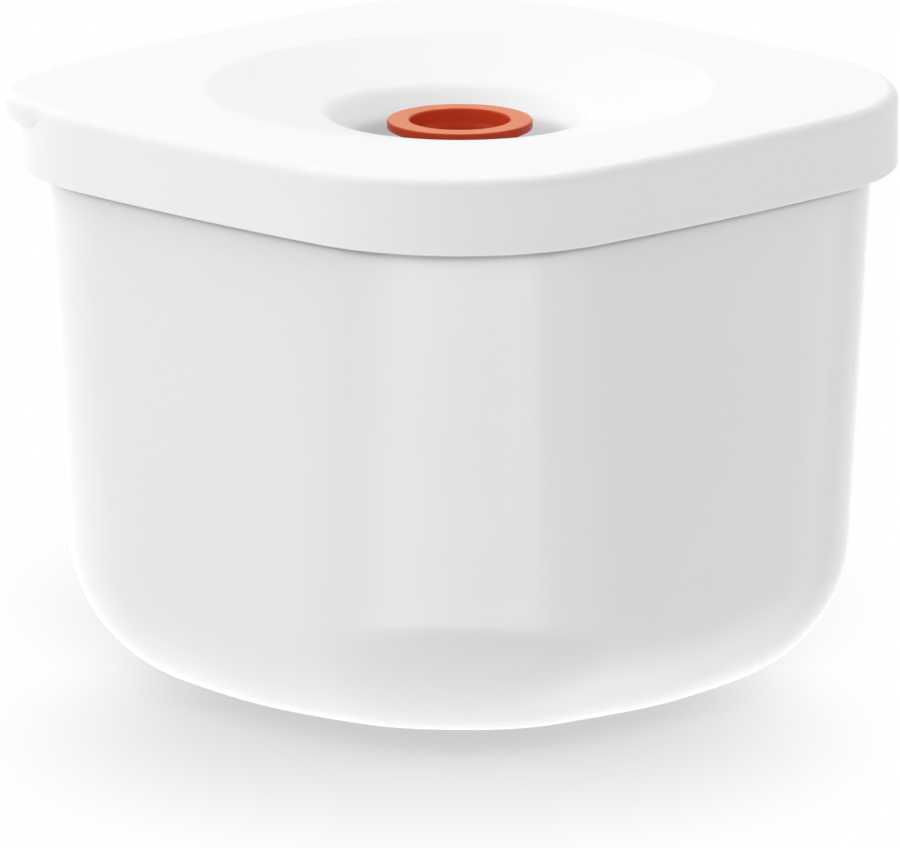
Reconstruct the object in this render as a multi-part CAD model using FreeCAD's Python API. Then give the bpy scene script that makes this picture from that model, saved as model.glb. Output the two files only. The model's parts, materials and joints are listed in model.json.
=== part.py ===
import FreeCAD, Part
import math
import os
from FreeCAD import Vector

# A vacuum seal canister: a container, a hollow lid with its gasket, and a sprung lift valve.
# Millimetres, +Z up, origin at the middle of the flat base.

# Lid, seen from above a square with bowed sides and round corners
LID_WIDTH = 170.0            # across two opposite sides
LID_SIDE_RADIUS = 700.0      # bow of a side
LID_CORNER_RADIUS = 47.5
LID_TOP = 135.0              # height of the closed canister
SKIRT_HEIGHT = 17.4          # from the top of the lid to the lower edge of its skirt
LID_WALL = 2.2
LID_PLATE = 2.4
LID_EDGE_ROUND = 2.5
SKIRT_EDGE_ROUND = 0.6

# Finger lip on one corner of the lid
LIP_REACH = 4.1              # past the corner of the skirt
LIP_RADIUS = 26.0
LIP_BLEND = 12.0             # hollow rounding between the lip and the corner
LIP_THICKNESS = 7.5
LIP_UNDER_ROUND = 4.4
LIP_CORNER = 2               # quarter turns from the +X +Y corner

# Dish in the top of the lid and the funnel in the middle of the dish
DISH_RADIUS = 57.7
DISH_DEPTH = 5.85
DISH_EDGE_ROUND = 6.0
FINGER_ROOM = 6.5            # from the flange of the knob to the foot of the funnel
FUNNEL_SPREAD = 7.0          # how far the funnel widens from its floor to its rim
FUNNEL_EDGE_ROUND = 4.0
FUNNEL_FLOOR_ROUND = 3.0

# Gasket
GASKET_HEIGHT = 4.6
GASKET_CLEARANCE = 0.3       # to the skirt
GASKET_GROOVE_WIDTH = 1.8
GASKET_GROOVE_DEPTH = 1.2

# Liner, the inner pan of the lid
LINER_WALL = 1.6
LINER_FLOOR = 1.6
LINER_CLEARANCE = 0.9        # from its bead to the inside of the container
LINER_EDGE_ROUND = 3.0
LINER_BEAD = 0.7             # bead that holds the gasket up
LINER_BEAD_HEIGHT = 1.2
LINER_FIT = 0.1              # round the gasket and round the valve well
RIB_COUNT = 8                # ribs on its floor, which hold the cover up
RIB_THICKNESS = 1.6
RIB_CLEARANCE = 0.3          # under the cover

# Container
WALL = 2.4
FLOOR = 2.8
RIM_LIP = 2.2                # outward lip round the mouth
RIM_LIP_HEIGHT = 3.0
RIM_LIP_ROUND = 0.8
RIM_CLEARANCE = 0.6          # from the rim lip to the skirt
SIDE_TAPER = 3.6             # how far each side draws in from the rim to the base
BASE_SIDE_RADIUS = 5000.0
BASE_CORNER_RADIUS = 51.0
BASE_ROUND_SIDE = 23.8       # rounding along the base, in the middle of a side
BASE_ROUND_BEND = 27.3       # where a side runs into a corner
BASE_ROUND_CORNER = 32.5     # and in the middle of a corner
BASE_RING_RADIUS = 42.0      # shallow ring groove in the base
BASE_RING_WIDTH = 3.0
BASE_RING_DEPTH = 0.6

# Valve knob, a flanged cup
KNOB_DROP = 7.45             # from the top of the lid to the top of the flange
FLANGE_RADIUS = 16.5
FLANGE_THICKNESS = 1.9
FLANGE_EDGE_ROUND = 0.5
FLANGE_BEVEL_HEIGHT = 1.6    # bevel under the flange
CUP_RADIUS = 11.45
CUP_WALL = 1.95
CUP_TAPER = 0.5
CUP_DEPTH = 4.2
CUP_FLOOR_ROUND = 1.4
KNOB_FLOOR = 2.6
KNOB_FOOT_ROUND = 0.5

# Valve seal and the vents that it covers
SEAL_INSET = 1.0             # from the side of the knob
SEAL_THICKNESS = 1.6
SEAL_EDGE_ROUND = 0.4
VENT_COUNT = 6
VENT_RADIUS = 1.6
VENT_MARGIN = 0.9            # from the spring to a vent

# Valve stem and its clip
SPIGOT_RADIUS = 2.2
SPIGOT_LENGTH = 1.8          # of the spigot inside the knob
SPIGOT_FIT = 0.03
STEM_RADIUS = 3.4
STEM_FIT = 0.05              # running clearance in the lid
STEM_TAIL = 1.0
STEM_TAIL_BEVEL = 0.4
CLIP_GROOVE_DEPTH = 0.75
CLIP_MARGIN = 0.9            # past the spring
CLIP_THICKNESS = 1.0
CLIP_FIT = 0.03

# Valve spring
SPRING_LENGTH = 6.4          # as fitted, with the valve shut
SPRING_CLEARANCE = 1.5       # round the stem
SPRING_WIRE = 0.6
SPRING_TURNS = 5
SPRING_FIT = 0.02            # to the lid and to the clip

# Valve well under the lid and the guard that closes it
WELL_MARGIN = 4.4            # from a vent to the wall of the well
WELL_WALL = 2.0
TAIL_CLEARANCE = 0.6         # from the stem to the guard
GUARD_THICKNESS = 1.6
GUARD_LEDGE = 0.8            # step in the well that the guard is pressed against
GUARD_FIT = 0.03
GUARD_HOLE_RADIUS = 1.1
GUARD_HOLE_PITCH = 3.6       # from one ring of holes to the next
GUARD_HOLE_RINGS = 3

CUT = 2.0                    # how far a cutting tool runs past a face
NEAR = 1e-3                  # lengths closer than this are taken as equal
FULL_TURN = 360
UP = Vector(0, 0, 1)

# Heights
LID_UNDER = LID_TOP - LID_PLATE
SKIRT_BOTTOM = LID_TOP - SKIRT_HEIGHT
RIM_TOP = LID_UNDER - GASKET_HEIGHT
KNOB_TOP = LID_TOP - KNOB_DROP
CUP_FLOOR = KNOB_TOP - CUP_DEPTH
KNOB_BOTTOM = CUP_FLOOR - KNOB_FLOOR
SEAT = KNOB_BOTTOM - SEAL_THICKNESS
SEAT_UNDER = SEAT - LID_PLATE
CLIP_TOP = SEAT_UNDER - SPRING_LENGTH
CLIP_BOTTOM = CLIP_TOP - CLIP_THICKNESS
STEM_BOTTOM = CLIP_BOTTOM - STEM_TAIL
GUARD_TOP = STEM_BOTTOM - TAIL_CLEARANCE
GUARD_BOTTOM = GUARD_TOP - GUARD_THICKNESS
FUNNEL_TOP = LID_TOP - DISH_DEPTH

# Radii about the axis of the valve
FUNNEL_FLOOR_RADIUS = FLANGE_RADIUS + FINGER_ROOM
FUNNEL_RADIUS = FUNNEL_FLOOR_RADIUS + FUNNEL_SPREAD
KNOB_BODY_RADIUS = CUP_RADIUS + CUP_WALL
SEAL_RADIUS = KNOB_BODY_RADIUS - SEAL_INSET
SPRING_RADIUS = STEM_RADIUS + SPRING_CLEARANCE + SPRING_WIRE / 2
SPRING_OUTSIDE = SPRING_RADIUS + SPRING_WIRE / 2
CLIP_RADIUS = SPRING_OUTSIDE + CLIP_MARGIN
VENT_CIRCLE = SPRING_OUTSIDE + VENT_MARGIN + VENT_RADIUS
WELL_BORE = VENT_CIRCLE + VENT_RADIUS + WELL_MARGIN

# Plans: half the width, the radius of the bowed sides and the radius of the corners
LID_PLAN = (LID_WIDTH / 2, LID_SIDE_RADIUS, LID_CORNER_RADIUS)


def inset(plan, distance):
    return tuple(size - distance for size in plan)


SKIRT_INSIDE = inset(LID_PLAN, LID_WALL)
RIM_PLAN = inset(SKIRT_INSIDE, RIM_CLEARANCE)
BODY_PLAN = inset(RIM_PLAN, RIM_LIP)
BASE_PLAN = (BODY_PLAN[0] - SIDE_TAPER, BASE_SIDE_RADIUS, BASE_CORNER_RADIUS)
LINER_PLAN = inset(BODY_PLAN, WALL + LINER_CLEARANCE + LINER_BEAD)
GASKET_OUTSIDE = inset(SKIRT_INSIDE, GASKET_CLEARANCE)
GASKET_INSIDE = inset(LINER_PLAN, -LINER_FIT)


def arc_about(centre, start, end):
    """Start, middle and end of an arc of under half a turn about a centre."""
    middle = (start - centre) + (end - centre)
    middle = centre + middle.normalize() * (start - centre).Length
    return start, middle, end


def corner_offset(plan):
    """How far the centre of a corner lies from both middle planes."""
    half, side_radius, corner_radius = plan
    bow = side_radius - half
    reach = side_radius - corner_radius
    return (math.sqrt(4 * bow * bow - 8 * (bow * bow - reach * reach)) - 2 * bow) / 4


def lip_arcs(plan, start, end):
    """Arcs from one end of the +X +Y corner to the other, out round the finger lip."""
    half, side_radius, corner_radius = plan
    offset = corner_offset(plan)
    corner_along = offset * math.sqrt(2)
    lip_along = corner_along + corner_radius + LIP_REACH - LIP_RADIUS
    to_corner = corner_radius + LIP_BLEND
    to_lip = LIP_RADIUS + LIP_BLEND
    blend_along = to_corner ** 2 - to_lip ** 2 + lip_along ** 2 - corner_along ** 2
    blend_along /= 2 * (lip_along - corner_along)
    blend_across = math.sqrt(to_corner ** 2 - (blend_along - corner_along) ** 2)

    def place(along, across):
        return Vector((along - across) * math.sqrt(0.5), (along + across) * math.sqrt(0.5), 0)

    corner = place(corner_along, 0)
    lip = place(lip_along, 0)
    blends = [place(blend_along, -blend_across), place(blend_along, blend_across)]
    on_corner = [corner + (blend - corner) * (corner_radius / to_corner) for blend in blends]
    on_lip = [lip + (blend - lip) * (LIP_RADIUS / to_lip) for blend in blends]
    return [
        arc_about(corner, start, on_corner[0]),
        arc_about(blends[0], on_corner[0], on_lip[0]),
        arc_about(lip, on_lip[0], on_lip[1]),
        arc_about(blends[1], on_lip[1], on_corner[1]),
        arc_about(corner, on_corner[1], end),
    ]


def outline(plan, height, with_lip=False, cut_sides=False):
    """Wire of a square with bowed sides, its corner arcs cut at the diagonals."""
    half, side_radius, corner_radius = plan
    offset = corner_offset(plan)
    side_centre = Vector(half - side_radius, 0, 0)
    corner = Vector(offset, offset, 0)
    turn = math.atan2(offset, offset + side_radius - half)
    reach = corner_radius * Vector(math.cos(turn), math.sin(turn), 0)
    start = corner + reach
    end = Vector(start.y, start.x, 0)
    diagonal = corner + corner_radius * Vector(math.sqrt(0.5), math.sqrt(0.5), 0)
    side_points = [Vector(start.x, -start.y, 0), start]
    if cut_sides:
        side_points.insert(1, Vector(half, 0, 0))
    edges = []
    for quarter in range(4):
        arcs = [arc_about(side_centre, *ends) for ends in zip(side_points, side_points[1:])]
        if with_lip and quarter == LIP_CORNER:
            arcs += lip_arcs(plan, start, end)
        else:
            arcs += [arc_about(corner, start, diagonal), arc_about(corner, diagonal, end)]
        for arc in arcs:
            edge = Part.Arc(*arc).toShape()
            edge.rotate(Vector(), UP, quarter * 90)
            edges.append(edge)
    wire = Part.Wire(edges)
    wire.translate(UP * height)
    return wire


def slab(plan, bottom, top, with_lip=False):
    face = Part.Face(outline(plan, bottom, with_lip))
    return face.extrude(UP * (top - bottom))


def tapered(bottom_plan, bottom, top_plan, top):
    """Body between two plans, its sides cut in the middle."""
    wires = [outline(bottom_plan, bottom, cut_sides=True), outline(top_plan, top, cut_sides=True)]
    return Part.makeLoft(wires, True, True)


def ring(outside, inside, bottom, top):
    return slab(outside, bottom, top).cut(slab(inside, bottom - CUT, top + CUT))


def drum(radius, bottom, top, x=0, y=0):
    return Part.makeCylinder(radius, top - bottom, Vector(x, y, bottom))


def edges_at(shape, height):
    """Numbers and edges of the level edges at one height."""
    found = []
    for number, edge in enumerate(shape.Edges, start=1):
        if abs(edge.BoundBox.ZMin - height) < NEAR and abs(edge.BoundBox.ZMax - height) < NEAR:
            found.append((number, edge))
    return found


def rounded_at(shape, height, radius):
    return shape.makeFillet(radius, [edge for number, edge in edges_at(shape, height)])


def turned(corners):
    """Solid of revolution from (radius, height, rounding) corners of its half section."""
    edges = []
    joints = []
    for place, (radius, height, rounding) in enumerate(corners):
        here = Vector(radius, 0, height)
        before = Vector(corners[place - 1][0], 0, corners[place - 1][1])
        following = corners[(place + 1) % len(corners)]
        after = Vector(following[0], 0, following[1])
        back = (before - here).normalize()
        ahead = (after - here).normalize()
        if rounding == 0:
            joints.append((here, here))
            continue
        half_angle = back.getAngle(ahead) / 2
        run = rounding / math.tan(half_angle)
        bisector = (back + ahead).normalize()
        middle = here + bisector * (rounding / math.sin(half_angle) - rounding)
        first = here + back * run
        last = here + ahead * run
        edges.append(Part.Arc(first, middle, last).toShape())
        joints.append((first, last))
    for place, (first, last) in enumerate(joints):
        edges.append(Part.LineSegment(joints[place - 1][1], first).toShape())
    face = Part.Face(Part.Wire(Part.__sortEdges__(edges)))
    return face.revolve(Vector(), UP, FULL_TURN)


def around(count, radius):
    """Places evenly spaced on a circle."""
    for number in range(count):
        angle = 2 * math.pi * number / count
        yield radius * math.cos(angle), radius * math.sin(angle)


def base_rounded(shape, height, rounds, document):
    """Round the lower edges, with a radius that grows from the sides to the corners."""
    side_round, bend_round, corner_round = rounds
    source = document.addObject("Part::Feature")
    source.Shape = shape
    rounding = document.addObject("Part::Fillet")
    rounding.Base = source

    def radius_at(vertex):
        across, along = sorted((abs(vertex.X), abs(vertex.Y)))
        if across < NEAR:
            return side_round
        return corner_round if along - across < NEAR else bend_round

    rounding.Edges = [
        (number, radius_at(edge.Vertexes[0]), radius_at(edge.Vertexes[-1]))
        for number, edge in edges_at(shape, height)
    ]
    document.recompute()
    return rounding.Shape


def container():
    document = FreeCAD.newDocument("container")
    rounds = (BASE_ROUND_SIDE, BASE_ROUND_BEND, BASE_ROUND_CORNER)
    outside = base_rounded(tapered(BASE_PLAN, 0, BODY_PLAN, RIM_TOP), 0, rounds, document)
    lip = slab(RIM_PLAN, RIM_TOP - RIM_LIP_HEIGHT, RIM_TOP)
    lip = rounded_at(lip, RIM_TOP, RIM_LIP_ROUND)
    lip = rounded_at(lip, RIM_TOP - RIM_LIP_HEIGHT, RIM_LIP_ROUND)
    inside = tapered(inset(BASE_PLAN, WALL), FLOOR, inset(BODY_PLAN, WALL), RIM_TOP)
    inside = base_rounded(inside, FLOOR, inset(rounds, WALL), document)
    groove = drum(BASE_RING_RADIUS, -CUT, BASE_RING_DEPTH)
    groove = groove.cut(drum(BASE_RING_RADIUS - BASE_RING_WIDTH, -CUT, BASE_RING_DEPTH))
    return outside.fuse(lip).cut(inside).cut(groove)


def dish_space():
    """The space of the dish and the funnel, carried on past the top of the lid."""
    slope = DISH_DEPTH / (DISH_RADIUS - FUNNEL_RADIUS)
    return turned([
        (0, SEAT, 0),
        (FUNNEL_FLOOR_RADIUS, SEAT, FUNNEL_FLOOR_ROUND),
        (FUNNEL_RADIUS, FUNNEL_TOP, FUNNEL_EDGE_ROUND),
        (DISH_RADIUS + CUT / slope, LID_TOP + CUT, 0),
        (0, LID_TOP + CUT, 0),
    ])


def dish_block():
    """The material under the dish and the funnel, one plate thick."""
    funnel_run = FUNNEL_RADIUS - FUNNEL_FLOOR_RADIUS
    funnel_fall = FUNNEL_TOP - SEAT
    funnel_side = LID_PLATE * math.hypot(funnel_run, funnel_fall) / funnel_fall
    shelf = LID_PLATE / 2
    dish_out = (LID_PLATE - shelf) * (DISH_RADIUS - FUNNEL_RADIUS) / DISH_DEPTH
    foot_radius = FUNNEL_FLOOR_RADIUS + funnel_side - LID_PLATE * funnel_run / funnel_fall
    knee_radius = FUNNEL_RADIUS + funnel_side - LID_PLATE * funnel_run / funnel_fall
    return turned([
        (0, SEAT_UNDER, 0),
        (foot_radius, SEAT_UNDER, 0),
        (knee_radius, FUNNEL_TOP - LID_PLATE, 0),
        (DISH_RADIUS + dish_out, LID_TOP - shelf, 0),
        (0, LID_TOP - shelf, 0),
    ])


def valve_well():
    """Tube under the funnel with a step for the guard."""
    outside = WELL_BORE + WELL_WALL
    middle = SEAT_UNDER + LID_PLATE / 2
    return turned([
        (WELL_BORE, middle, 0),
        (WELL_BORE, GUARD_TOP, 0),
        (WELL_BORE + GUARD_LEDGE, GUARD_TOP, 0),
        (WELL_BORE + GUARD_LEDGE, GUARD_BOTTOM, 0),
        (outside, GUARD_BOTTOM, 0),
        (outside, middle, 0),
    ])


def lid_cover():
    skirt = slab(LID_PLAN, SKIRT_BOTTOM, LID_TOP - LID_EDGE_ROUND)
    skirt = rounded_at(skirt, SKIRT_BOTTOM, SKIRT_EDGE_ROUND)
    top = slab(LID_PLAN, LID_TOP - LIP_THICKNESS, LID_TOP, with_lip=True)
    top = rounded_at(top, LID_TOP, LID_EDGE_ROUND)
    top = rounded_at(top, LID_TOP - LIP_THICKNESS, LIP_UNDER_ROUND)
    cover = skirt.fuse(top).cut(slab(SKIRT_INSIDE, SKIRT_BOTTOM - CUT, LID_UNDER))
    cover = cover.fuse([dish_block(), valve_well()])
    cover = cover.cut(dish_space())
    cover = cover.cut(drum(STEM_RADIUS + STEM_FIT, SEAT_UNDER - CUT, SEAT + CUT))
    for x, y in around(VENT_COUNT, VENT_CIRCLE):
        cover = cover.cut(drum(VENT_RADIUS, SEAT_UNDER - CUT, SEAT + CUT, x, y))
    cover = cover.removeSplitter()
    dish_edge = [
        edge for number, edge in edges_at(cover, LID_TOP)
        if isinstance(edge.Curve, Part.Circle) and abs(edge.Curve.Radius - DISH_RADIUS) < NEAR
    ]
    return cover.makeFillet(DISH_EDGE_ROUND, dish_edge)


def liner_ribs():
    """Radial ribs on the floor of the liner, up to the underside of the cover."""
    reach = LINER_PLAN[0] - LINER_WALL / 2
    floor = SEAT_UNDER - LINER_FLOOR / 2
    height = LID_UNDER - RIB_CLEARANCE - floor
    cover = dish_block()
    cover.translate(-UP * RIB_CLEARANCE)
    ribs = []
    for number in range(RIB_COUNT):
        corner = Vector(FUNNEL_FLOOR_RADIUS, -RIB_THICKNESS / 2, floor)
        rib = Part.makeBox(reach - FUNNEL_FLOOR_RADIUS, RIB_THICKNESS, height, corner)
        rib.rotate(Vector(), UP, number * FULL_TURN / RIB_COUNT)
        ribs.append(rib.cut(cover))
    return ribs


def lid_liner():
    pan = slab(LINER_PLAN, SEAT_UNDER - LINER_FLOOR, LID_UNDER)
    pan = rounded_at(pan, SEAT_UNDER - LINER_FLOOR, LINER_EDGE_ROUND)
    bead = slab(inset(LINER_PLAN, -LINER_BEAD), RIM_TOP - LINER_BEAD_HEIGHT, RIM_TOP)
    pan = pan.fuse(bead).cut(slab(inset(LINER_PLAN, LINER_WALL), SEAT_UNDER, LID_UNDER + CUT))
    hole = drum(WELL_BORE + WELL_WALL + LINER_FIT, SEAT_UNDER - LINER_FLOOR - CUT, SEAT_UNDER + CUT)
    return pan.cut(hole).fuse(liner_ribs()).removeSplitter()


def lid_gasket():
    """Flat ring with a groove that leaves two lips on the rim."""
    width = GASKET_OUTSIDE[0] - GASKET_INSIDE[0]
    edge = (width - GASKET_GROOVE_WIDTH) / 2
    groove_plans = inset(GASKET_OUTSIDE, edge), inset(GASKET_INSIDE, -edge)
    groove = ring(*groove_plans, RIM_TOP - CUT, RIM_TOP + GASKET_GROOVE_DEPTH)
    return ring(GASKET_OUTSIDE, GASKET_INSIDE, RIM_TOP, LID_UNDER).cut(groove)


def valve_knob():
    flange_bottom = KNOB_TOP - FLANGE_THICKNESS
    socket = SPIGOT_RADIUS + SPIGOT_FIT
    return turned([
        (0, CUP_FLOOR, 0),
        (CUP_RADIUS - CUP_TAPER, CUP_FLOOR, CUP_FLOOR_ROUND),
        (CUP_RADIUS, KNOB_TOP, FLANGE_EDGE_ROUND),
        (FLANGE_RADIUS, KNOB_TOP, FLANGE_EDGE_ROUND),
        (FLANGE_RADIUS, flange_bottom, FLANGE_EDGE_ROUND),
        (KNOB_BODY_RADIUS, flange_bottom - FLANGE_BEVEL_HEIGHT, 0),
        (KNOB_BODY_RADIUS, KNOB_BOTTOM, KNOB_FOOT_ROUND),
        (socket, KNOB_BOTTOM, 0),
        (socket, KNOB_BOTTOM + SPIGOT_LENGTH, 0),
        (0, KNOB_BOTTOM + SPIGOT_LENGTH, 0),
    ])


def valve_seal():
    bore = SPIGOT_RADIUS + SPIGOT_FIT
    return turned([
        (bore, SEAT, 0),
        (SEAL_RADIUS, SEAT, SEAL_EDGE_ROUND),
        (SEAL_RADIUS, KNOB_BOTTOM, SEAL_EDGE_ROUND),
        (bore, KNOB_BOTTOM, 0),
    ])


def valve_stem():
    groove = STEM_RADIUS - CLIP_GROOVE_DEPTH
    return turned([
        (0, STEM_BOTTOM, 0),
        (STEM_RADIUS - STEM_TAIL_BEVEL, STEM_BOTTOM, 0),
        (STEM_RADIUS, STEM_BOTTOM + STEM_TAIL_BEVEL, 0),
        (STEM_RADIUS, CLIP_BOTTOM, 0),
        (groove, CLIP_BOTTOM, 0),
        (groove, CLIP_TOP, 0),
        (STEM_RADIUS, CLIP_TOP, 0),
        (STEM_RADIUS, SEAT, 0),
        (SPIGOT_RADIUS, SEAT, 0),
        (SPIGOT_RADIUS, KNOB_BOTTOM + SPIGOT_LENGTH, 0),
        (0, KNOB_BOTTOM + SPIGOT_LENGTH, 0),
    ])


def stem_clip():
    """Open ring that is pushed onto the groove of the stem from the side."""
    bore = STEM_RADIUS - CLIP_GROOVE_DEPTH + CLIP_FIT
    clip = drum(CLIP_RADIUS, CLIP_BOTTOM, CLIP_TOP)
    clip = clip.cut(drum(bore, CLIP_BOTTOM - CUT, CLIP_TOP + CUT))
    mouth_corner = Vector(0, -bore, CLIP_BOTTOM - CUT)
    mouth = Part.makeBox(CLIP_RADIUS + CUT, 2 * bore, CLIP_THICKNESS + 2 * CUT, mouth_corner)
    return clip.cut(mouth)


def bow(start, corner, end):
    """Arc that leaves start towards corner and comes in to end from corner."""
    chord_middle = (start + end) * 0.5
    half_chord = (end - start).Length / 2
    rise = corner - chord_middle
    sagitta = half_chord * math.tan(math.atan(rise.Length / half_chord) / 2)
    return Part.Arc(start, chord_middle + rise.normalize() * sagitta, end).toShape()


def spring_point(turns):
    angle = 2 * math.pi * turns
    wound = SPRING_LENGTH - SPRING_WIRE - 2 * SPRING_FIT
    height = CLIP_TOP + SPRING_FIT + SPRING_WIRE / 2 + wound * turns / SPRING_TURNS
    return Vector(SPRING_RADIUS * math.cos(angle), SPRING_RADIUS * math.sin(angle), height)


def spring_heading(turns):
    angle = 2 * math.pi * turns
    wound = SPRING_LENGTH - SPRING_WIRE - 2 * SPRING_FIT
    rise = wound / (2 * math.pi * SPRING_TURNS)
    heading = Vector(-SPRING_RADIUS * math.sin(angle), SPRING_RADIUS * math.cos(angle), rise)
    return heading.normalize()


def valve_spring():
    """Coil of round wire, each quarter turn two arcs that meet smoothly."""
    edges = []
    for quarter in range(4 * SPRING_TURNS):
        start, end = spring_point(quarter / 4), spring_point((quarter + 1) / 4)
        leave, arrive = spring_heading(quarter / 4), spring_heading((quarter + 1) / 4)
        span = end - start
        bend = 2 * (1 - leave.dot(arrive))
        pull = span.dot(leave + arrive)
        reach = (math.sqrt(pull * pull + bend * span.dot(span)) - pull) / bend
        first = start + leave * reach
        last = end - arrive * reach
        joint = (first + last) * 0.5
        edges += [bow(start, first, joint), bow(joint, last, end)]
    circle = Part.Circle(spring_point(0), spring_heading(0), SPRING_WIRE / 2)
    section = Part.Wire([circle.toShape()])
    coil = Part.Wire(edges).makePipeShell([section], True, False)
    pitch = (SPRING_LENGTH - SPRING_WIRE - 2 * SPRING_FIT) / SPRING_TURNS
    samples = [spring_point(step / 72) for step in range(72 * SPRING_TURNS + 1)]
    least = min(
        (samples[one] - samples[other]).Length
        for one in range(len(samples)) for other in range(one + 36, len(samples))
    )
    print("spring pitch", round(pitch, 3), "least gap", round(least - SPRING_WIRE, 3))
    return coil


def valve_guard():
    """Perforated disc that is pressed into the foot of the well."""
    guard = drum(WELL_BORE + GUARD_LEDGE - GUARD_FIT, GUARD_BOTTOM, GUARD_TOP)
    holes = [drum(GUARD_HOLE_RADIUS, GUARD_BOTTOM - CUT, GUARD_TOP + CUT)]
    for number in range(1, GUARD_HOLE_RINGS + 1):
        for x, y in around(6 * number, GUARD_HOLE_PITCH * number):
            holes.append(drum(GUARD_HOLE_RADIUS, GUARD_BOTTOM - CUT, GUARD_TOP + CUT, x, y))
    return guard.cut(Part.makeCompound(holes))


PIECES = (
    container, lid_cover, lid_liner, lid_gasket, valve_knob,
    valve_seal, valve_stem, valve_spring, stem_clip, valve_guard,
)

os.makedirs("parts", exist_ok=True)
for piece in PIECES:
    shape = piece()
    name = piece.__name__
    solids = len(shape.Solids)
    print(name, "valid", shape.isValid(), "solids", solids, "volume", round(shape.Volume, 1))
    shape.exportStep("parts/" + name + ".step")
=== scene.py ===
import json
import math

import bmesh
import bpy
from mathutils import Matrix, Vector


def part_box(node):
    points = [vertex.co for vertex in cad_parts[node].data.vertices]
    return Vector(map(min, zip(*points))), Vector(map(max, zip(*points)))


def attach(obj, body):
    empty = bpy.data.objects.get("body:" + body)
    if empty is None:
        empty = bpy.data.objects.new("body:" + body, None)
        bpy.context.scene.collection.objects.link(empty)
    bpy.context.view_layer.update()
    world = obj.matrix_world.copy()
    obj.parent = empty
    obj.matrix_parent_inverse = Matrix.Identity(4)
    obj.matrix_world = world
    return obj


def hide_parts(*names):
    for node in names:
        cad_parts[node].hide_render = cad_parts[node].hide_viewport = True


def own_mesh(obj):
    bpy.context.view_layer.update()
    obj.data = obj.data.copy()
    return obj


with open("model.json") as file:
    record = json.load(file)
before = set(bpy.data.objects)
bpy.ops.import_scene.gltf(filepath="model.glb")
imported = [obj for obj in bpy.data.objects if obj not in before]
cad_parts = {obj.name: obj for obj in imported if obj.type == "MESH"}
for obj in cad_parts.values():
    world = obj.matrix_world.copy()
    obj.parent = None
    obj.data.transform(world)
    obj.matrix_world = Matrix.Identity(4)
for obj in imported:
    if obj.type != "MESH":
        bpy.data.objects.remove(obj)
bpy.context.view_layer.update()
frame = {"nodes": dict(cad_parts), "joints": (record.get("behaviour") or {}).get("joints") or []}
NODES = frame["nodes"]

# Lengths are in metres unless a comment says otherwise
UP = Vector((0, 0, 1))
WHITE = (1, 1, 1, 1)

# Camera, as the photograph sees the canister: on to a corner, from far away and a little above
IMAGE_WIDTH = 900
SENSOR_WIDTH = 36.0          # millimetres
CAMERA_AZIMUTH = math.radians(45)
CAMERA_ELEVATION = math.radians(12.28)
CAMERA_DISTANCE = 5.1
PIXELS_PER_METRE = 4420.5    # at that distance
AIM_HEIGHT = 0.1176          # lower edge of the skirt, on the axis
AIM_LEFT = 0.0022            # the axis stands this far right of the middle of the picture
AIM_DOWN = 0.0593            # and that edge this far above it

# Headings in the picture: to the right, and away from the camera
ACROSS = Vector((math.cos(CAMERA_AZIMUTH), math.sin(CAMERA_AZIMUTH), 0))
AHEAD = Vector((-math.sin(CAMERA_AZIMUTH), math.cos(CAMERA_AZIMUTH), 0))

# Finishes
GLOSS_PATCH = 6              # gloss varies over patches of this many grains
MIX_FIRST = 6                # places of the two colours, and of their mix, on a Mix node
MIX_SECOND = 7
MIX_RESULT = 2

# Knob: painted sheen, a paler red on the top of its flange, and painted shade, a deeper red inside its
# cup
KNOB_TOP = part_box("valve_knob")[1].z
SHEEN_DEPTH = 0.00025
PAINTED_SHEEN_RED = (0.69, 0.155, 0.028, 1)
CUP_RADIUS = 0.01145
CUP_EDGE = 0.0005
CUP_SHADE_RED = (0.46, 0.036, 0.008, 1)

# Modelling
MERGE = 1e-6                 # corners closer than this become one
ROUND_SEGMENTS = 3
ROUND_FROM = math.radians(20)    # edges that turn less than this stay as they are

# Gasket: plan of the lid that it follows, and its profile with two lips
LID_SIDE_RADIUS = 0.700
LID_CORNER_RADIUS = 0.0475
GASKET_WIDTH = 0.0064
GROOVE_WIDTH = 0.0018
GROOVE_DEPTH = 0.0012
LIP_FLAT = 0.0011
LIP_CHAMFER = 0.0005
LIP_RISE = 0.0009
GASKET_ROUND = 0.0003
SIDE_STEPS = 12              # in half a side
CORNER_STEPS = 28

# Seal under the knob: a washer with a lip round its edge
SEAL_BORE = 0.00223
SEAL_LIP = 0.0012
SEAL_RELIEF = 0.0003
SEAL_ROUND = 0.00025
SEAL_STEPS = 64

# Studio light: levels, and where each part of it goes from 0 to full, by its height or a heading
SKY_LOW = 0.18               # level with the object and below it
SKY_NADIR = 2.4              # more from straight below, as from a lit white table
NADIR_RANGE = (-0.65, -0.95)
SKY_FRONT = 0.20             # high up in front
SKY_BACK = 1.15              # high up behind, a large softbox
HIGH_UP = (0.20, 0.55)
BEHIND = (0.35, -0.35)
STRIP = 5.3                  # long strip light just above the camera, a little stronger to the left
STRIP_LEFT = 0.06
STRIP_FOOT = (0.26, 0.31)
STRIP_HEAD = (0.45, 0.40)
STRIP_ENDS = (-0.35, 0.0)
KEY = 1.2                    # softbox at the left and a little behind
KEY_HEADING = (AHEAD * 0.2 - ACROSS * 0.9 + UP * 0.42).normalized()
KEY_WIDTH = (0.70, 0.95)
LIGHT_BOUNCES = 1            # more would wash out the gap under the skirt

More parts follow.
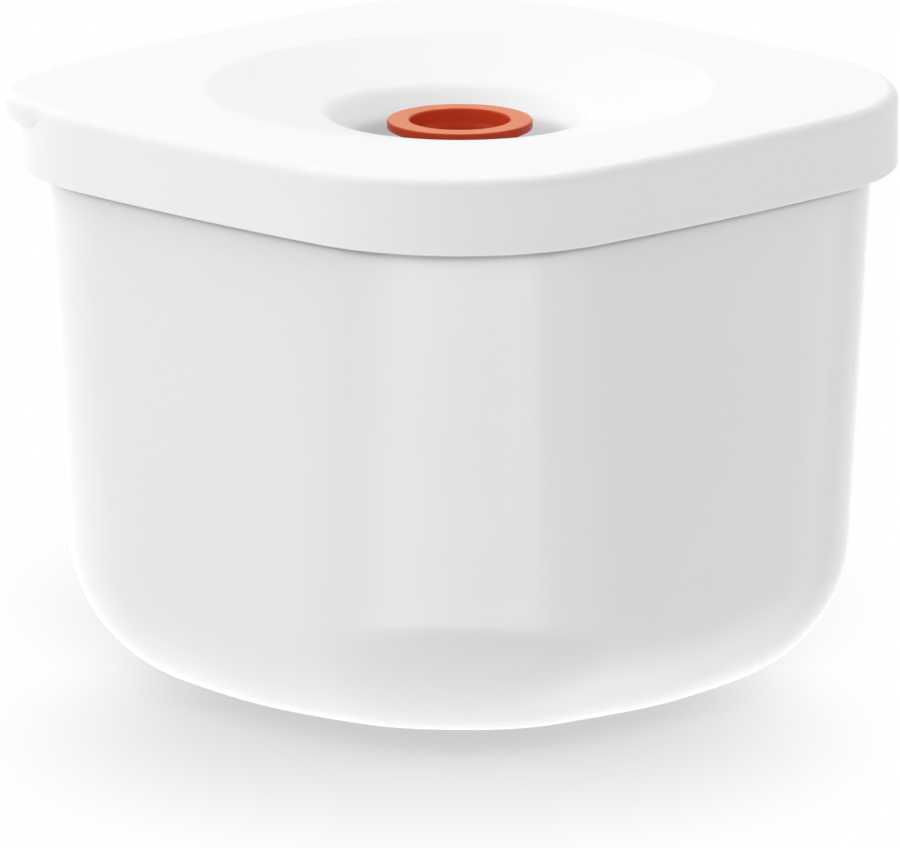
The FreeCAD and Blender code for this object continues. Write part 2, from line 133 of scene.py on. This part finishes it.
# White surroundings that only gloss shows: a card in front and the lit backdrop
CARD = 3.5
CARD_BEYOND = 0.4            # share of its light that goes on to its right
CARD_RIGHT = (0.78, 0.60)
CARD_LEFT = (-0.95, -0.45)
CARD_FOOT = (-0.45, -0.30)
CARD_HEAD = (0.12, -0.08)    # low enough that the top of the lid doesn't mirror it
CARD_FRONT = (0.0, 0.3)
BACKDROP = 0.3
BACKDROP_RIGHT = 1.2         # more of it low down on the right
BACKDROP_SIDE = (0.0, 0.6)
BACKDROP_END = (-0.55, -0.15)
BACKDROP_FRONT = (0.3, -0.4)
BACKDROP_HEAD = (0.50, 0.30)

# Floor
FLOOR_REACH = 6.0
FLOOR_DROP = 0.0002          # just clear of the base
FLOOR_SHADE = (0.52, 0.52, 0.525, 1)
FADE_AHEAD = 0.07            # middles of the shadow, in front of the axis and behind it
FADE_LEFT = 0.006
FADE_ACROSS = 1.35           # the shadow is this much shorter to the sides than to the front
FADE_START = 0.055           # distances from its middle where it starts to pale and where it ends
FADE_END = 0.150
SHADOW_REACH = 0.13
SHADOW_LEAN = 1.0            # how far the shaded sky leans over the canister
SHADOW_TURN = (0.02, -0.02)  # where that lean turns round, to be the same in front and behind
SHADOW_FALL = 1.25           # how fast the shadow pales
SHADOW_SAMPLES = 16


class Wire:
    """A node's output that takes part in Python expressions."""

    def __init__(self, tree, socket):
        self.tree = tree
        self.socket = socket

    def _math(self, operation, first, second):
        node = self.tree.nodes.new("ShaderNodeMath")
        node.operation = operation
        for place, value in enumerate((first, second)):
            feed(self.tree, node.inputs[place], value)
        return Wire(self.tree, node.outputs[0])

    def __add__(self, other):
        return self._math("ADD", self, other)

    def __radd__(self, other):
        return self._math("ADD", other, self)

    def __sub__(self, other):
        return self._math("SUBTRACT", self, other)

    def __rsub__(self, other):
        return self._math("SUBTRACT", other, self)

    def __mul__(self, other):
        return self._math("MULTIPLY", self, other)

    def __rmul__(self, other):
        return self._math("MULTIPLY", other, self)

    def __pow__(self, other):
        return self._math("POWER", self, other)

    def __abs__(self):
        return self._math("ABSOLUTE", self, 0.0)


def feed(tree, socket, value):
    """Link a wire to a socket, or set the socket's own value."""
    if isinstance(value, Wire):
        tree.links.new(value.socket, socket)
    else:
        socket.default_value = value


class Shader:
    """The node tree of one finish or of the sky."""

    def __init__(self, owner):
        owner.use_nodes = True
        self.tree = owner.node_tree
        self.tree.nodes.clear()

    def node(self, kind, inputs, output=0, **settings):
        node = self.tree.nodes.new("ShaderNode" + kind)
        for name, value in settings.items():
            setattr(node, name, value)
        for name, value in inputs.items():
            feed(self.tree, node.inputs[name], value)
        if node.outputs:
            return Wire(self.tree, node.outputs[output])


def along(shader, vector, axis):
    """How far a direction or a place lies along an axis."""
    return shader.node("VectorMath", {0: vector, 1: axis}, output="Value", operation="DOT_PRODUCT")


def step(shader, value, start, end):
    """Smooth step from 0 at start to 1 at end."""
    inputs = {"Value": value, "From Min": start, "From Max": end}
    return shader.node("MapRange", inputs, interpolation_type="SMOOTHSTEP")


def noise(shader, size):
    """Soft noise with features of about one size, in metres, on the piece's own place."""
    place = shader.node("TexCoord", {}, output="Object")
    return shader.node("TexNoise", {"Vector": place, "Scale": 1 / size})


def tint(shader, mask, first, second):
    """Colour between two, by a mask from 0 to 1."""
    inputs = {"Factor": mask, MIX_FIRST: first, MIX_SECOND: second}
    return shader.node("Mix", inputs, output=MIX_RESULT, data_type="RGBA")


def knob_sheen_and_shade(shader, colour):
    """Painted sheen, a paler red on the top of the flange, and painted shade, a deeper red inside the
    cup.
    """
    place = shader.node("TexCoord", {}, output="Object")
    height = along(shader, place, UP)
    aside = along(shader, place, ACROSS)
    ahead = along(shader, place, AHEAD)
    # Painted shade: a deeper red inside the cup
    in_cup = step(shader, aside * aside + ahead * ahead, (CUP_RADIUS + CUP_EDGE) ** 2, CUP_RADIUS ** 2)
    colour = tint(shader, in_cup, colour, CUP_SHADE_RED)
    # Painted sheen: a paler red on the top of the flange
    sheen = step(shader, height, KNOB_TOP - SHEEN_DEPTH, KNOB_TOP)
    return tint(shader, sheen, colour, PAINTED_SHEEN_RED)


def finish(name, dark, light, cloud, roughness, spread, grain, grain_height, painted_light=None, **constants):
    """A moulded or drawn surface: clouded colour, uneven gloss and a fine grain."""
    material = bpy.data.materials.new(name)
    shader = Shader(material)
    colour = tint(shader, noise(shader, cloud), (*dark, 1), (*light, 1))
    # Optional painted light and shade over the colour
    if painted_light:
        colour = painted_light(shader, colour)
    gloss = noise(shader, grain * GLOSS_PATCH)
    relief = {"Height": noise(shader, grain), "Strength": 1.0, "Distance": grain_height}
    inputs = {
        "Base Color": colour,
        "Roughness": roughness - spread + gloss * (2 * spread),
        "Normal": shader.node("Bump", relief),
    }
    inputs.update({key.replace("_", " "): value for key, value in constants.items()})
    surface = shader.node("BsdfPrincipled", inputs)
    shader.node("OutputMaterial", {"Surface": surface})
    return material


FINISHES = {
    "container": finish(
        "milky_plastic", dark=(0.803, 0.798, 0.789), light=(0.828, 0.823, 0.814), cloud=0.05,
        roughness=0.16, spread=0.03, grain=0.0007, grain_height=0.000004,
    ),
    "lid_cover": finish(
        "white_lid_plastic", dark=(0.855, 0.855, 0.857), light=(0.875, 0.875, 0.877), cloud=0.06,
        roughness=0.42, spread=0.05, grain=0.0005, grain_height=0.000006, Specular_IOR_Level=0.3,
    ),
    "lid_liner": finish(
        "liner_plastic", dark=(0.82, 0.82, 0.82), light=(0.85, 0.85, 0.85), cloud=0.05,
        roughness=0.34, spread=0.05, grain=0.0006, grain_height=0.000005,
    ),
    "lid_gasket": finish(
        "milky_silicone", dark=(0.66, 0.67, 0.68), light=(0.72, 0.73, 0.74), cloud=0.02,
        roughness=0.5, spread=0.06, grain=0.0004, grain_height=0.000004,
    ),
    "valve_knob": finish(
        "red_silicone", dark=(0.33, 0.027, 0.007), light=(0.38, 0.034, 0.009), cloud=0.008,
        roughness=0.34, spread=0.06, grain=0.0003, grain_height=0.000004, Specular_IOR_Level=0.12,
        # painted sheen on the top of the flange and painted shade in the cup
        painted_light=knob_sheen_and_shade,
    ),
    "valve_stem": finish(
        "natural_acetal", dark=(0.76, 0.76, 0.74), light=(0.80, 0.80, 0.78), cloud=0.01,
        roughness=0.32, spread=0.05, grain=0.0003, grain_height=0.000003,
    ),
    "stem_clip": finish(
        "stamped_steel", dark=(0.50, 0.50, 0.52), light=(0.58, 0.58, 0.60), cloud=0.004,
        roughness=0.3, spread=0.08, grain=0.0002, grain_height=0.000003, Metallic=1.0,
    ),
    "valve_spring": finish(
        "spring_wire", dark=(0.55, 0.55, 0.57), light=(0.62, 0.62, 0.64), cloud=0.003,
        roughness=0.24, spread=0.06, grain=0.0002, grain_height=0.000002, Metallic=1.0,
    ),
}
FINISHES["valve_seal"] = FINISHES["lid_gasket"]
FINISHES["valve_guard"] = FINISHES["lid_liner"]

for name, node in NODES.items():
    node.data.materials.clear()
    node.data.materials.append(FINISHES[name])


def add_piece(name, shape, body, stands_for):
    """A finished bmesh as a piece that rides on a body and stands for a node."""
    mesh = bpy.data.meshes.new(name)
    shape.to_mesh(mesh)
    shape.free()
    mesh.materials.append(FINISHES[stands_for])
    mesh.shade_smooth()
    piece = bpy.data.objects.new(name, mesh)
    bpy.context.scene.collection.objects.link(piece)
    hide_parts(stands_for)
    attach(piece, body)
    return piece


def rounded_edges(piece, radius):
    """Round the corners of a profile, but not the small turns between its stations."""
    rounding = piece.modifiers.new("rounding", "BEVEL")
    rounding.width = radius
    rounding.segments = ROUND_SEGMENTS
    rounding.limit_method = "ANGLE"
    rounding.angle_limit = ROUND_FROM


def closed_profile(shape, points):
    """Closed loop of edges through a few points."""
    corners = [shape.verts.new(point) for point in points]
    for first, second in zip(corners, corners[1:] + corners[:1]):
        shape.edges.new((first, second))
    return [*shape.verts, *shape.edges]


def tidy_shell(shape):
    """Close the seam of a spun shape and turn its faces outwards."""
    bmesh.ops.remove_doubles(shape, verts=shape.verts, dist=MERGE)
    bmesh.ops.recalc_face_normals(shape, faces=shape.faces)


def lip_gasket():
    """The gasket: its profile spun round the bowed sides and the corners of the lid in turn."""
    low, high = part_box("lid_gasket")
    half = high.x
    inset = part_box("lid_cover")[1].x - half
    groove_edge = (GASKET_WIDTH - GROOVE_WIDTH) / 2
    half_profile = [
        (0, high.z),
        (0, low.z + LIP_RISE),
        (LIP_CHAMFER, low.z),
        (LIP_CHAMFER + LIP_FLAT, low.z),
        (groove_edge, low.z + GROOVE_DEPTH),
    ]
    other_half = [(GASKET_WIDTH - inward, height) for inward, height in reversed(half_profile)]

    # The arcs of a side and a corner touch on the line through their middles
    side_away = LID_SIDE_RADIUS - inset - half
    middles_apart = LID_SIDE_RADIUS - LID_CORNER_RADIUS
    corner = (math.sqrt(2 * middles_apart ** 2 - side_away ** 2) - side_away) / 2
    side_turn = math.atan2(corner, corner + side_away)
    corner_turn = math.pi / 2 - 2 * side_turn
    side_middle = Vector((-side_away, 0, 0))
    corner_middle = Vector((corner, corner, 0))
    quarter = Matrix.Rotation(math.pi / 2, 3, "Z")

    shape = bmesh.new()
    profile = [(half - inward, 0, height) for inward, height in half_profile + other_half]
    last = closed_profile(shape, profile)
    for _ in range(4):
        next_middle = quarter @ side_middle
        arcs = (
            (side_middle, side_turn, SIDE_STEPS),
            (corner_middle, corner_turn, CORNER_STEPS),
            (next_middle, side_turn, SIDE_STEPS),
        )
        for middle, angle, steps in arcs:
            spun = bmesh.ops.spin(shape, geom=last, cent=middle, axis=UP, angle=angle, steps=steps)
            last = spun["geom_last"]
        side_middle = next_middle
        corner_middle = quarter @ corner_middle
    tidy_shell(shape)
    rounded_edges(add_piece("lip_gasket", shape, "lid", "lid_gasket"), GASKET_ROUND)


def lip_seal():
    """The washer under the knob, which meets its seat with a lip round its edge."""
    low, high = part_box("valve_seal")
    edge = high.x
    shape = bmesh.new()
    profile = closed_profile(shape, [
        (SEAL_BORE, 0, high.z),
        (edge, 0, high.z),
        (edge, 0, low.z),
        (edge - SEAL_LIP, 0, low.z),
        (edge - SEAL_LIP - SEAL_RELIEF, 0, low.z + SEAL_RELIEF),
        (SEAL_BORE, 0, low.z + SEAL_RELIEF),
    ])
    bmesh.ops.spin(
        shape, geom=profile, cent=(0, 0, 0), axis=UP, angle=math.tau, steps=SEAL_STEPS, use_merge=True,
    )
    tidy_shell(shape)
    rounded_edges(add_piece("lip_seal", shape, "valve", "valve_seal"), SEAL_ROUND)


def shrinking_spring():
    """The valve spring as a piece with a mesh of its own, riding on the lid."""
    coil = bmesh.new()
    coil.from_mesh(NODES["valve_spring"].data)
    bmesh.ops.remove_doubles(coil, verts=coil.verts, dist=MERGE)
    piece = add_piece("coil_spring", coil, "lid", "valve_spring")
    low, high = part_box("valve_spring")
    lift = next(joint for joint in frame["joints"] if joint["name"] == "valve_lift")["range_m"][1]
    length = high.z - low.z
    (length - lift) / length
    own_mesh(piece)


def soft_light(shader, heading, height, right, front):
    """Light that falls on the canister: sky, lit table, strip light and key."""
    high_up = SKY_FRONT - SKY_LOW + step(shader, front, *BEHIND) * (SKY_BACK - SKY_FRONT)
    sky_light = SKY_LOW + step(shader, height, *HIGH_UP) * high_up
    table = step(shader, height, *NADIR_RANGE) * SKY_NADIR
    strip = step(shader, height, *STRIP_FOOT) * step(shader, height, *STRIP_HEAD)
    strip = strip * step(shader, front, *STRIP_ENDS) * (1 - right * STRIP_LEFT) * STRIP
    key = step(shader, along(shader, heading, KEY_HEADING), *KEY_WIDTH) * KEY
    return sky_light + table + strip + key


def mirrored_light(shader, height, right, front):
    """What gloss shows on top of plain white: the card in front and the backdrop."""
    low_down = step(shader, height, *CARD_HEAD)
    card = CARD_BEYOND + step(shader, right, *CARD_RIGHT) * (1 - CARD_BEYOND)
    card = card * step(shader, right, *CARD_LEFT) * step(shader, front, *CARD_FRONT)
    card = card * step(shader, height, *CARD_FOOT) * low_down
    beside = low_down * step(shader, right, *BACKDROP_SIDE) * step(shader, front, *BACKDROP_END)
    backdrop = step(shader, front, *BACKDROP_FRONT) * step(shader, height, *BACKDROP_HEAD)
    return card * CARD + backdrop * (BACKDROP + beside * BACKDROP_RIGHT)


def sky():
    """Soft studio light, which is plain white where it is seen or mirrored."""
    world = bpy.data.worlds.new("studio")
    bpy.context.scene.world = world
    shader = Shader(world)
    heading = shader.node("TexCoord", {}, output="Generated")
    height = along(shader, heading, UP)
    right = along(shader, heading, ACROSS)
    front = along(shader, heading, -AHEAD)
    camera_ray = shader.node("LightPath", {}, output="Is Camera Ray")
    glossy_ray = shader.node("LightPath", {}, output="Is Glossy Ray")
    clear_ray = shader.node("LightPath", {}, output="Is Transmission Ray")
    level = soft_light(shader, heading, height, right, front)
    gloss = 1 + glossy_ray * mirrored_light(shader, height, right, front)
    ambient = shader.node("Background", {"Color": WHITE, "Strength": level})
    white = shader.node("Background", {"Color": WHITE, "Strength": gloss})
    mixed = shader.node("MixShader", {0: camera_ray + glossy_ray + clear_ray, 1: ambient, 2: white})
    shader.node("OutputWorld", {"Surface": mixed})


def shaded_white(shader):
    """White with the soft shadow of the canister, which pales to white around it."""
    place = shader.node("TexCoord", {}, output="Object")
    aside = (along(shader, place, ACROSS) + FADE_LEFT) * FADE_ACROSS
    ahead = along(shader, place, AHEAD)
    inward = step(shader, ahead, *SHADOW_TURN) * 2 - 1
    lean = shader.node("VectorMath", {0: AHEAD * SHADOW_LEAN, "Scale": inward}, operation="SCALE")
    lean = shader.node("VectorMath", {0: lean, 1: UP}, operation="ADD")
    lean = shader.node("VectorMath", {0: lean}, operation="NORMALIZE")
    reach = {"Distance": SHADOW_REACH, "Normal": lean}
    open_sky = shader.node("AmbientOcclusion", reach, output="AO", samples=SHADOW_SAMPLES)
    paint = tint(shader, (1 - open_sky) ** SHADOW_FALL, WHITE, FLOOR_SHADE)
    beyond = abs(ahead) - FADE_AHEAD
    far = step(shader, aside * aside + beyond * beyond, FADE_START ** 2, FADE_END ** 2)
    return tint(shader, far, paint, WHITE)


def floor():
    """White sweep under the canister, which is clear when it is seen from below."""
    plane = bmesh.new()
    bmesh.ops.create_grid(plane, x_segments=1, y_segments=1, size=FLOOR_REACH)
    bmesh.ops.translate(plane, verts=plane.verts, vec=(0, 0, -FLOOR_DROP))
    mesh = bpy.data.meshes.new("floor")
    plane.to_mesh(mesh)
    plane.free()
    material = bpy.data.materials.new("white_sweep")
    shader = Shader(material)
    white = shader.node("Emission", {"Color": shaded_white(shader), "Strength": 1.0})
    clear = shader.node("BsdfTransparent", {})
    from_below = shader.node("NewGeometry", {}, output="Backfacing")
    surface = shader.node("MixShader", {0: from_below, 1: white, 2: clear})
    shader.node("OutputMaterial", {"Surface": surface})
    mesh.materials.append(material)
    piece = bpy.data.objects.new("floor", mesh)
    # Only the camera sees it, so it neither lights nor shades the canister
    piece.visible_diffuse = False
    piece.visible_glossy = False
    piece.visible_transmission = False
    piece.visible_shadow = False
    bpy.context.scene.collection.objects.link(piece)


def camera():
    """Long lens, set back from the lower edge of the skirt and turned to the middle of the picture."""
    data = bpy.data.cameras.new("camera")
    data.sensor_width = SENSOR_WIDTH
    data.lens = SENSOR_WIDTH * CAMERA_DISTANCE * PIXELS_PER_METRE / IMAGE_WIDTH
    view = bpy.data.objects.new("camera", data)
    back = UP * math.sin(CAMERA_ELEVATION) - AHEAD * math.cos(CAMERA_ELEVATION)
    up = UP * math.cos(CAMERA_ELEVATION) + AHEAD * math.sin(CAMERA_ELEVATION)
    skirt_middle = UP * AIM_HEIGHT
    picture_middle = skirt_middle - ACROSS * AIM_LEFT - up * AIM_DOWN
    view.location = skirt_middle + back * CAMERA_DISTANCE
    view.rotation_euler = (picture_middle - view.location).to_track_quat("-Z", "Y").to_euler()
    bpy.context.scene.collection.objects.link(view)
    bpy.context.scene.camera = view


lip_gasket()
lip_seal()
shrinking_spring()
sky()
floor()
camera()
bpy.context.scene.view_settings.view_transform = "Standard"
bpy.context.scene.cycles.diffuse_bounces = LIGHT_BOUNCES
